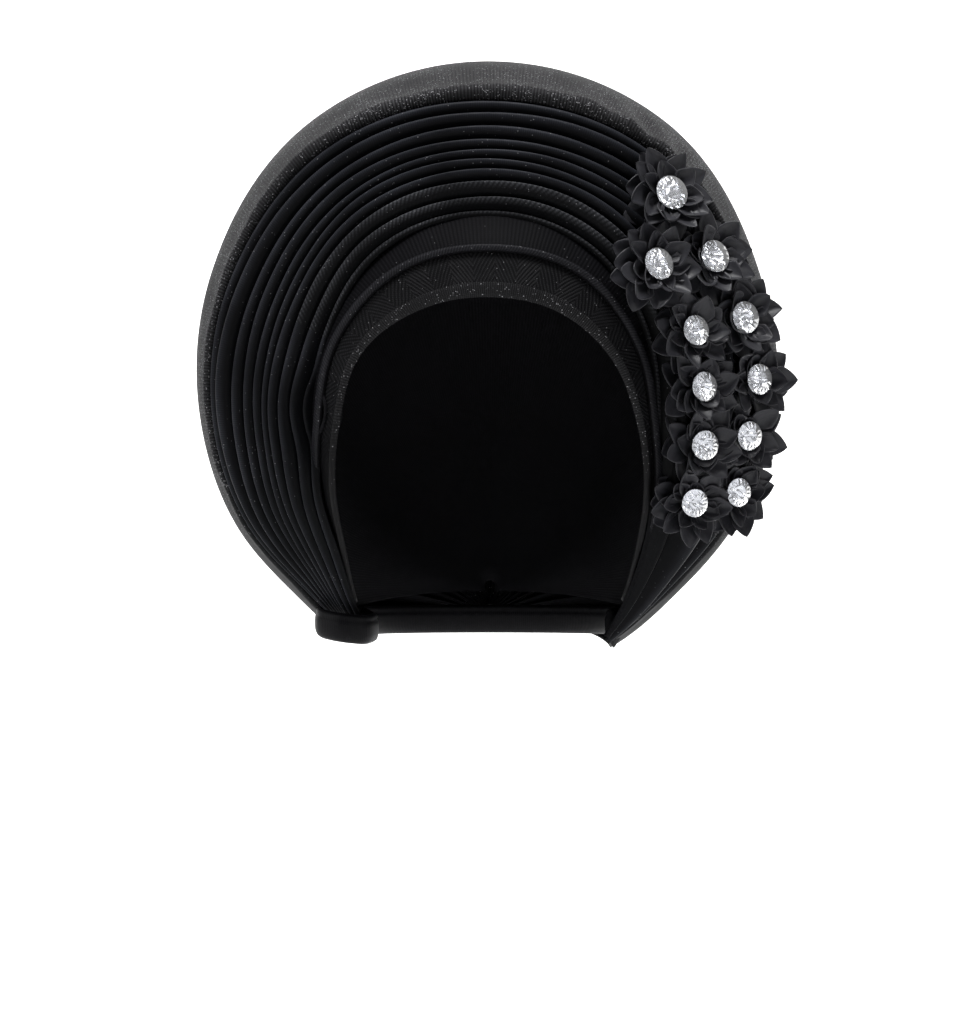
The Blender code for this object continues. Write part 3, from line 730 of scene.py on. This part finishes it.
def makeNapeTie():
    look = tieLook
    path = smoothPath(tiePath, look["steps"])
    side = np.cross(np.gradient(path, axis=0), (0, 0, 1))
    side /= np.linalg.norm(side, axis=1, keepdims=True)
    rowsOut, rowsIn = [], []
    for part in np.linspace(-1, 1, look["rows"]):
        plump = (1 - abs(part) ** 3) ** 0.5
        up = np.array((0, 0, 0.5 * look["height"] * part))
        crease = look["crease"] * hump(part, look["creaseAt"], look["creaseSpread"])
        rowsOut.append(path + up + side * 0.5 * look["thickness"] * (plump - crease))
        rowsIn.append(path + up - side * 0.5 * look["thickness"] * (plump + look["backRoom"]))
    plain = clothFinish("tieCloth", "tie")
    made = gridMesh("napeTie", np.array(rowsOut), np.array(rowsIn), plain)
    wornSheet(*made, "nape_tie", look["length"], ["crown_wrap"])


makeNapeTie()
print("nape tie made")

# Flowers: turn and reach of the middle, lift off the pleats, the way it faces in
# degrees to +X and up, spin in degrees, and the size of the flower and its stone.
flowerColumns = ("turn", "reach", "lift", "yaw", "pitch", "spin", "size", "stone")
flowers = (
    (37.7, 0.791, 0.0100, 26, 14, 0, 1.00, 1.05),
    (45.9, 0.619, 0.0095, 30, 12, 12, 1.00, 0.98),
    (52.6, 0.755, 0.0110, 32, 12, 20, 1.00, 1.00),
    (64.7, 0.600, 0.0090, 33, 8, 4, 0.95, 0.92),
    (66.5, 0.749, 0.0110, 33, 6, 15, 1.00, 0.98),
    (79.1, 0.574, 0.0090, 33, 2, 0, 0.92, 0.90),
    (79.6, 0.743, 0.0128, 35, 2, 0, 0.98, 0.94),
    (94.6, 0.567, 0.0100, 26, -2, 18, 0.92, 0.90),
    (91.6, 0.702, 0.0132, 33, -3, 18, 0.94, 0.90),
    (104.3, 0.699, 0.0140, 32, -4, 0, 0.93, 0.88),
    (110.1, 0.575, 0.0125, 22, -6, 20, 0.90, 0.86),
)
flowerTable = [dict(zip(flowerColumns, row)) for row in flowers]

# The spread, low and inner petals of a flower. Lengths are in metres and angles in degrees:
# tilt from the flower's plane, curl along the petal, cup across it. A petal near a
# neighbour's stone takes the crowded reach and tilt, and keeps the stone's room free.
petalLook = {
    "count": 10, "reach": 0.0216, "width": 0.0056, "tilt": 14, "curl": 20, "cup": 54, "step": 0.0008,
    "lowCount": 8, "lowReach": 0.0212, "lowWidth": 0.0062, "lowTilt": -2, "lowCup": 40, "lowLift": -0.0010,
    "innerCount": 7, "innerReach": 0.0176, "innerTilt": 26, "innerCup": 78, "innerLift": 0.0008,
    "crowdedReach": 0.0196, "crowdedTilt": 30, "crowdedFrom": 0.020,
    "stoneRoom": 0.0125, "shortest": 0.010, "trim": 0.0005,
    "root": 0.0030, "rootWidth": 0.34, "widest": 0.55, "edgeDrop": 0.10, "twist": 0.16, "fold": 0.0005,
    "cloth": 0.0004, "rowsAlong": 17, "rowsAcross": 13,
}

# A stone's size in metres, its sides, and how uneven the foiled facets are.
stoneLook = {"reach": 0.0070, "height": 0.0046, "seat": 0.0028, "sides": 16, "uneven": 0.075, "tip": 0.26}

# A stone's rings of corners, from the table down: how many for each side, radius and height
# as shares of the stone's, and the turn in steps of a side.
ringColumns = ("corners", "radius", "up", "turn")
stoneRings = (
    (1, 0.48, 1.00, 0.0),
    (1, 0.74, 0.93, 0.5),
    (2, 0.985, 0.78, 0.0),
    (2, 1.00, 0.75, 0.0),
    (2, 0.97, 0.68, 0.0),
    (2, 0.76, 0.54, 0.25),
    (2, 0.54, 0.44, 0.0),
    (1, 0.30, 0.34, 0.5),
)
unevenBelow = 0.6  # rings lower than this share of the height are uneven

satinLook = {"dark": (0.0066, 0.0066, 0.0086), "light": (0.0170, 0.0170, 0.0215), "threads": 900.0,
             "lift": 0.15, "depth": 0.0002, "rough": 0.46, "gloss": 0.22, "sheen": 0.04}
stoneFinish = {
    "clearStone": {"Base Color": (0.97, 0.98, 1.0, 1), "Roughness": 0.02, "Transmission Weight": 0.90,
                   "IOR": 1.45},
    "silverFoil": {"Base Color": (0.60, 0.61, 0.64, 1), "Metallic": 0.85, "Roughness": 0.20},
}


def satinFinish():
    look = satinLook
    material, shader, node = newFinish("blackSatin")
    spot = node("ShaderNodeTexCoord").outputs["Object"]
    thread = node("ShaderNodeTexNoise", Vector=spot, Scale=look["threads"]).outputs["Fac"]
    tone = node("ShaderNodeMix", data_type="RGBA", Factor=thread, A=(*look["dark"], 1), B=(*look["light"], 1))
    bump = node("ShaderNodeBump", Height=thread, Strength=look["lift"], Distance=look["depth"])
    fillNode(shader, {
        "Base Color": tone.outputs["Result"], "Normal": bump.outputs["Normal"],
        "Roughness": look["rough"], "Specular IOR Level": look["gloss"], "Sheen Weight": look["sheen"],
    })
    return material


satin = satinFinish()
clearStone, silverFoil = (plainFinish(name, values) for name, values in stoneFinish.items())


# A flower's middle and its own axes: across, upright and the way it faces. The middle is
# shifted against the facing, so that the stone's girdle, and not its seat, is over the spot
# that the turn and reach give.
def flowerFrame(flower):
    turn = flower["turn"]
    inner, outer = sizeAt("fan", turn), sizeAt("rim", turn)
    share = (flower["reach"] * form["reach"] - inner) / (outer - inner)
    distance, depth = fanSurface(turn, share, 0.0)
    yaw, pitch = math.radians(flower["yaw"]), math.radians(flower["pitch"])
    facing = np.array((math.sin(yaw) * math.cos(pitch), -math.cos(yaw) * math.cos(pitch), math.sin(pitch)))
    across = np.cross(facing, (0, 0, 1))
    across /= np.linalg.norm(across)
    upright = np.cross(across, facing)
    shift = stoneLook["seat"] + 0.75 * stoneLook["height"]
    middle = place(turn, distance, depth) - np.array((shift * facing[0], flower["lift"], shift * facing[2]))
    return middle, np.stack((across, upright, facing))


# One pinched ribbon petal in the flower's own axes: narrow at its root, widest past the
# middle, pointed, with its edges turned up and a few soft folds along it.
def petalGrid(angle, reach, width, tilt, curl, cup, lift, sway):
    look = petalLook
    along = np.linspace(0, 1, look["rowsAlong"])
    across = np.linspace(-1, 1, look["rowsAcross"])[None, :]
    lean = np.radians(tilt + curl * (along - 0.3))
    step = (reach - look["root"]) / (look["rowsAlong"] - 1)
    out = look["root"] + np.concatenate(((0,), np.cumsum(np.cos(lean[1:]) * step)))
    up = lift + np.concatenate(((0,), np.cumsum(np.sin(lean[1:]) * step)))
    tip = unit((along - look["widest"]) / (1 - look["widest"]))
    opened = look["rootWidth"] + (1 - look["rootWidth"]) * unit(along / look["widest"]) ** 0.9
    half = (width * opened * (1 - tip**1.6) ** 0.85)[:, None]
    cupped = (np.radians(cup) * (1 - 0.45 * tip))[:, None]
    edge = np.sin(cupped)
    side = half * np.sin(cupped * across) / edge
    rise = half * (1 - np.cos(cupped * across)) / edge
    rise = rise - look["edgeDrop"] * half * unit((np.abs(across) - 0.8) / 0.2)
    rise = rise + look["twist"] * half * math.sin(9 * sway) * across
    folds = np.sin(3.1 * across + 5.0 * along[:, None] + sway)
    rise = rise + look["fold"] * folds * np.sin(np.pi * along)[:, None]
    outward = out[:, None] - rise * np.sin(lean)[:, None]
    upward = up[:, None] + rise * np.cos(lean)[:, None]
    spun = np.radians(angle + sway * along**2)[:, None]
    x = outward * np.cos(spun) - side * np.sin(spun)
    y = outward * np.sin(spun) + side * np.cos(spun)
    return np.stack((x, y, upward), axis=-1)


# Closed thin leaves from grids, as one piece.
def joinGrids(name, grids, thickness, axes, middle, finish):
    points, faces = [], []
    for number, grid in enumerate(grids):
        rows, stations = grid.shape[:2]
        under = grid - thickness * gridNormals(grid)
        points.append(np.concatenate((grid.reshape(-1, 3), under.reshape(-1, 3))))
        faces.append(leafFaces(rows, stations) + number * 2 * rows * stations)
    points = np.concatenate(points) @ axes + middle
    return addObject(name, newMesh(name, points.tolist(), np.concatenate(faces).tolist(), [finish]))


# A petal's reach, cut where its tip would cover a neighbour's stone.
def freeReach(middle, way, reach, neighbours):
    look = petalLook
    for other in neighbours:
        while reach > look["shortest"] and np.linalg.norm(middle + way * reach - other) < look["stoneRoom"]:
            reach -= look["trim"]
    return reach


# The way that a petal points, in the part's axes.
def petalWay(angle, axes):
    return np.array((math.cos(math.radians(angle)), math.sin(math.radians(angle)), 0)) @ axes


# Spread petals, steeper where a neighbour crowds them, broad low ones and upright inner ones.
def makeFlower(index, flower, neighbours):
    middle, axes = flowerFrame(flower)
    look, size = petalLook, flower["size"]
    grids = []
    for petal in range(look["count"]):
        angle = flower["spin"] + petal * 360 / look["count"] + rng.uniform(-5, 5)
        way = petalWay(angle, axes)
        tip = middle + way * look["reach"]
        rooms = [np.linalg.norm(tip - other) / look["crowdedFrom"] for other in neighbours]
        crowd = sum(unit(1 - room) for room in rooms)
        tilt = look["tilt"] + look["crowdedTilt"] * min(1, 2 * crowd) + rng.uniform(-6, 6)
        reach = look["reach"] + (look["crowdedReach"] - look["reach"]) * min(1, crowd)
        reach = freeReach(middle, way, reach * size * rng.uniform(0.94, 1.05), neighbours)
        width = look["width"] * size * rng.uniform(0.88, 1.08)
        curl = look["curl"] * rng.uniform(0.2, 1.6)
        cup = look["cup"] * rng.uniform(0.7, 1.25)
        sway = rng.uniform(-14, 14)
        grids.append(petalGrid(angle, reach, width, tilt, curl, cup, look["step"] * (petal % 2), sway))
    for petal in range(look["lowCount"]):
        angle = flower["spin"] + (petal + 0.4) * 360 / look["lowCount"] + rng.uniform(-10, 10)
        way = petalWay(angle, axes)
        reach = freeReach(middle, way, look["lowReach"] * size * rng.uniform(0.92, 1.03), neighbours)
        tilt = look["lowTilt"] + rng.uniform(-5, 8)
        width = look["lowWidth"] * size * rng.uniform(0.9, 1.1)
        sway, curl = rng.uniform(-16, 16), rng.uniform(0, 30)
        grids.append(petalGrid(angle, reach, width, tilt, curl, look["lowCup"], look["lowLift"], sway))
    for petal in range(look["innerCount"]):
        angle = flower["spin"] + (petal + 0.5) * 360 / look["innerCount"] + rng.uniform(-12, 12)
        way = petalWay(angle, axes)
        reach = freeReach(middle, way, look["innerReach"] * size * rng.uniform(0.85, 1.08), neighbours)
        width = look["width"] * size * rng.uniform(0.75, 0.95)
        tilt = look["innerTilt"] + rng.uniform(-8, 10)
        curl, sway = rng.uniform(-10, 45), rng.uniform(-18, 18)
        grids.append(petalGrid(angle, reach, width, tilt, curl, look["innerCup"], look["innerLift"], sway))
    piece = joinGrids(f"ribbonFlower{index}", grids, look["cloth"], axes, middle, satin)
    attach(piece, "root")
    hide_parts(f"flower_{index:02d}")
    makeStone(index, flower, middle, axes)


# The corners of a stone's rings and its tip, and where each ring starts among them.
def stoneCorners(reach):
    look = stoneLook
    points, starts = [], []
    for row in stoneRings:
        ring = dict(zip(ringColumns, row))
        starts.append(len(points))
        count = ring["corners"] * look["sides"]
        for step in range(count):
            angle = math.radians(step * 360 / count + ring["turn"] * 360 / look["sides"])
            uneven = look["uneven"] * rng.uniform(-1, 1) if ring["up"] < unevenBelow else 0
            height = look["seat"] + (ring["up"] + uneven) * look["height"]
            radius = ring["radius"] * reach
            points.append((radius * math.cos(angle), radius * math.sin(angle), height))
    points.append((0, 0, look["seat"] + look["tip"] * look["height"]))
    return points, starts


# A round stone: table, star and kite facets of glass, over a foiled girdle and back.
def makeStone(index, flower, middle, axes):
    sides = stoneLook["sides"]
    points, starts = stoneCorners(stoneLook["reach"] * flower["stone"])
    table, upper, girdle, rim, lower, outer, inner, deep = starts
    tip = len(points) - 1
    nexts = [(step + 1) % sides for step in range(sides)]
    edges = [[(2 * step + count) % (2 * sides) for count in range(3)] for step in range(sides)]
    faces = [tuple(range(table, table + sides))]
    for step, (after, edge) in enumerate(zip(nexts, edges)):
        faces.append((table + step, upper + step, table + after))
        faces.append((table + after, upper + step, girdle + edge[2], upper + after))
        faces.append((upper + step, girdle + edge[0], girdle + edge[1]))
        faces.append((upper + step, girdle + edge[1], girdle + edge[2]))
    crown = len(faces)
    for step in range(2 * sides):
        after = (step + 1) % (2 * sides)
        faces.append((girdle + step, rim + step, rim + after, girdle + after))
        faces.append((rim + step, lower + step, lower + after, rim + after))
        for wide, narrow in ((lower, outer), (outer, inner)):
            faces.append((wide + step, narrow + step, wide + after))
            faces.append((wide + after, narrow + step, narrow + after))
    for step, (after, edge) in enumerate(zip(nexts, edges)):
        faces.append((inner + edge[0], deep + step, inner + edge[1]))
        faces.append((inner + edge[1], deep + step, inner + edge[2]))
        faces.append((inner + edge[2], deep + step, deep + after))
        faces.append((deep + step, tip, deep + after))
    placed = (np.array(points) @ axes + middle).tolist()
    mesh = newMesh(f"cutStone{index}", placed, faces, [clearStone, silverFoil], smooth=False)
    mesh.polygons.foreach_set("material_index", [int(number >= crown) for number in range(len(faces))])
    piece = addObject(f"cutStone{index}", mesh)
    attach(piece, "root")
    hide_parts(f"stone_{index:02d}")


flowerSpots = [flowerFrame(flower)[0] for flower in flowerTable]
for number, flower in enumerate(flowerTable, 1):
    makeFlower(number, flower, [spot for spot in flowerSpots if spot is not flowerSpots[number - 1]])
print("flowers made")

# The floor turns up behind the part in a cove. It glows a little, so that it stays pale.
stageLook = {"floor": -0.46, "wide": 9.0, "near": -7.0, "deep": 3.2, "top": 4.5, "cove": 1.0,
             "coveSteps": 12, "colour": (0.80, 0.80, 0.80), "rough": 0.9, "glow": 0.42}


def makeStage():
    look = stageLook
    rows = [(look["near"], look["floor"])]
    for step in range(look["coveSteps"] + 1):
        angle = math.radians(step * 90 / look["coveSteps"])
        y = look["deep"] - look["cove"] + look["cove"] * math.sin(angle)
        rows.append((y, look["floor"] + look["cove"] - look["cove"] * math.cos(angle)))
    rows.append((look["deep"], look["top"]))
    points = [(x, y, z) for y, z in rows for x in (-look["wide"], look["wide"])]
    faces = [(2 * i, 2 * i + 1, 2 * i + 3, 2 * i + 2) for i in range(len(rows) - 1)]
    paper = {"Base Color": (*look["colour"], 1), "Roughness": look["rough"],
             "Emission Color": (1, 1, 1, 1), "Emission Strength": look["glow"]}
    mesh = newMesh("paleFloor", points, faces, [plainFinish("palePaper", paper)])
    addObject("paleFloor", mesh)


# The lights: where each is and what it points at, in metres, its size, and its watts.
lampColumns = ("name", "spot", "aim", "size", "power")
lamps = (
    ("overhead", (0.0, -0.5, 1.5), (0, 0, -0.05), (1.0, 0.5), 54),
    ("sideLeft", (-1.9, -0.8, 0.6), (0, 0, -0.1), (0.6, 0.9), 22),
    ("sideRight", (1.8, -1.4, 0.6), (0, 0, -0.1), (0.6, 0.9), 11),
    ("backdropLight", (0.0, 1.1, 1.6), (0, 3.2, 0.0), (4.0, 1.0), 110),
)


def makeLamp(name, spot, aim, size, power):
    light = bpy.data.lights.new(name, "AREA")
    light.shape = "RECTANGLE"
    light.size, light.size_y = size
    light.energy = power
    lamp = addObject(name, light)
    lamp.location = spot
    way = np.array(aim) - np.array(spot)
    down = math.acos(-way[2] / np.linalg.norm(way))
    lamp.rotation_euler = (down, 0, math.atan2(way[0], -way[1]) + math.pi)


makeStage()
for row in lamps:
    makeLamp(**dict(zip(lampColumns, row)))

surround = 0.10  # how strongly the surround lights the part


# A dim surround for the light, which looks white to the camera.
def makeStudioAir():
    air = bpy.data.worlds.new("studioAir")
    air.use_nodes = True
    nodes, links = air.node_tree.nodes, air.node_tree.links
    dim = fillNode(nodes["Background"], {"Color": (1, 1, 1, 1), "Strength": surround})
    white = fillNode(nodes.new("ShaderNodeBackground"), {"Color": (1, 1, 1, 1)})
    ray = nodes.new("ShaderNodeLightPath").outputs["Is Camera Ray"]
    either = fillNode(nodes.new("ShaderNodeMixShader"), {"Fac": ray})
    links.new(dim.outputs["Background"], either.inputs[1])
    links.new(white.outputs["Background"], either.inputs[2])
    fillNode(nodes["World Output"], {"Surface": either.outputs["Shader"]})
    bpy.context.scene.world = air


makeStudioAir()
bpy.context.scene.view_settings.view_transform = "Standard"

# At the height of the photo's middle row. The seen height is the photo's, at the face.
cameraLook = {"spot": (-0.0028, -2.2, -0.1393), "sensor": 36.0, "seenHeight": 0.4343}
lens = bpy.data.cameras.new("photoCamera")
lens.sensor_width = cameraLook["sensor"]
lens.lens = cameraLook["sensor"] * -cameraLook["spot"][1] / cameraLook["seenHeight"]
camera = addObject("photoCamera", lens)
camera.location = cameraLook["spot"]
camera.rotation_euler = (math.pi / 2, 0, 0)
bpy.context.scene.camera = camera
print("stage, light and camera ready")
